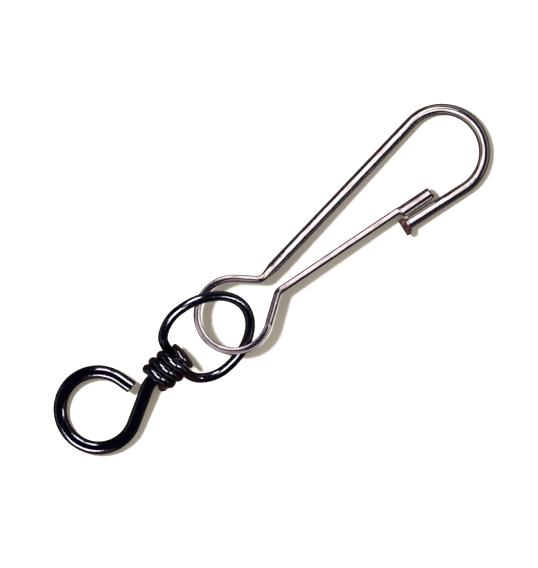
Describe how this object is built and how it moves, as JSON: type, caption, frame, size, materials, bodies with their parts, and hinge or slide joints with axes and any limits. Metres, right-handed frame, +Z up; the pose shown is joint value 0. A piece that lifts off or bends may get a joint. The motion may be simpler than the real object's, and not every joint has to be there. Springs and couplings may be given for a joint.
{
  "type": "swivel snap hook",
  "caption": "Wire spring snap hook with a flexing gate, linked through its spring eye to a ring whose ends wind round a swivelling shank with an open eye.",
  "frame": {"origin": "on the surface the fitting lies on, under the middle of its outline", "axes": "+X along the fitting from the open eye to the bow, +Y to the spine's side, +Z up from the surface"},
  "size_m": [0.0936, 0.0196, 0.0073],
  "materials": {
    "hook_plate": "bright nickel plate on round spring wire, fine draw lines",
    "gate_plate": "bright nickel plate on rolled strip, slightly brushed",
    "spring_plate": "bright nickel plate on rolled strip, slightly brushed",
    "ring_plate": "dark bright nickel plate, tool marks at the windings",
    "eye_plate": "dark bright nickel plate on thick wire",
    "cut_steel": "sheared steel with thin plate and a brown tint"
  },
  "bodies": {
    "hook": {"bill_lip": "cut_steel", "hook_bill": "hook_plate", "hook_bow": "hook_plate", "hook_spine": "hook_plate", "spine_bend": "hook_plate", "spine_neck": "hook_plate", "spring_eye": "spring_plate"},
    "gate": {"gate_neck": "gate_plate", "gate_bend": "gate_plate", "gate_arm": "gate_plate", "gate_tip": "gate_plate"},
    "ring": {"swivel_ring": "ring_plate", "over_winding": "ring_plate", "under_winding": "ring_plate"},
    "eye": {"shank_head": "eye_plate", "swivel_shank": "eye_plate", "eye_stem": "eye_plate", "open_eye": "eye_plate", "eye_tail": "eye_plate"}
  },
  "joints": [
    {"name": "gate_flex", "type": "hinge", "parent": "hook", "child": "gate", "pos_m": [-0.00918, -0.00028, 0.0037], "axis": [0.0492, 0, 0.9988], "range_deg": [0, 10], "stiffness_Nm_per_rad": 0.4, "springref_deg": -3.44, "deforming": ["spring_eye"]},
    {"name": "link_swing", "type": "hinge", "parent": "hook", "child": "ring", "pos_m": [-0.00918, -0.00028, 0.0037], "axis": [0.0492, 0, 0.9988], "range_deg": [-35, 35]},
    {"name": "swivel_spin", "type": "hinge", "parent": "ring", "child": "eye", "pos_m": [-0.02467, -0.00028, 0.00338], "axis": [0.9946, 0, 0.1039], "continuous": true}
  ]
}
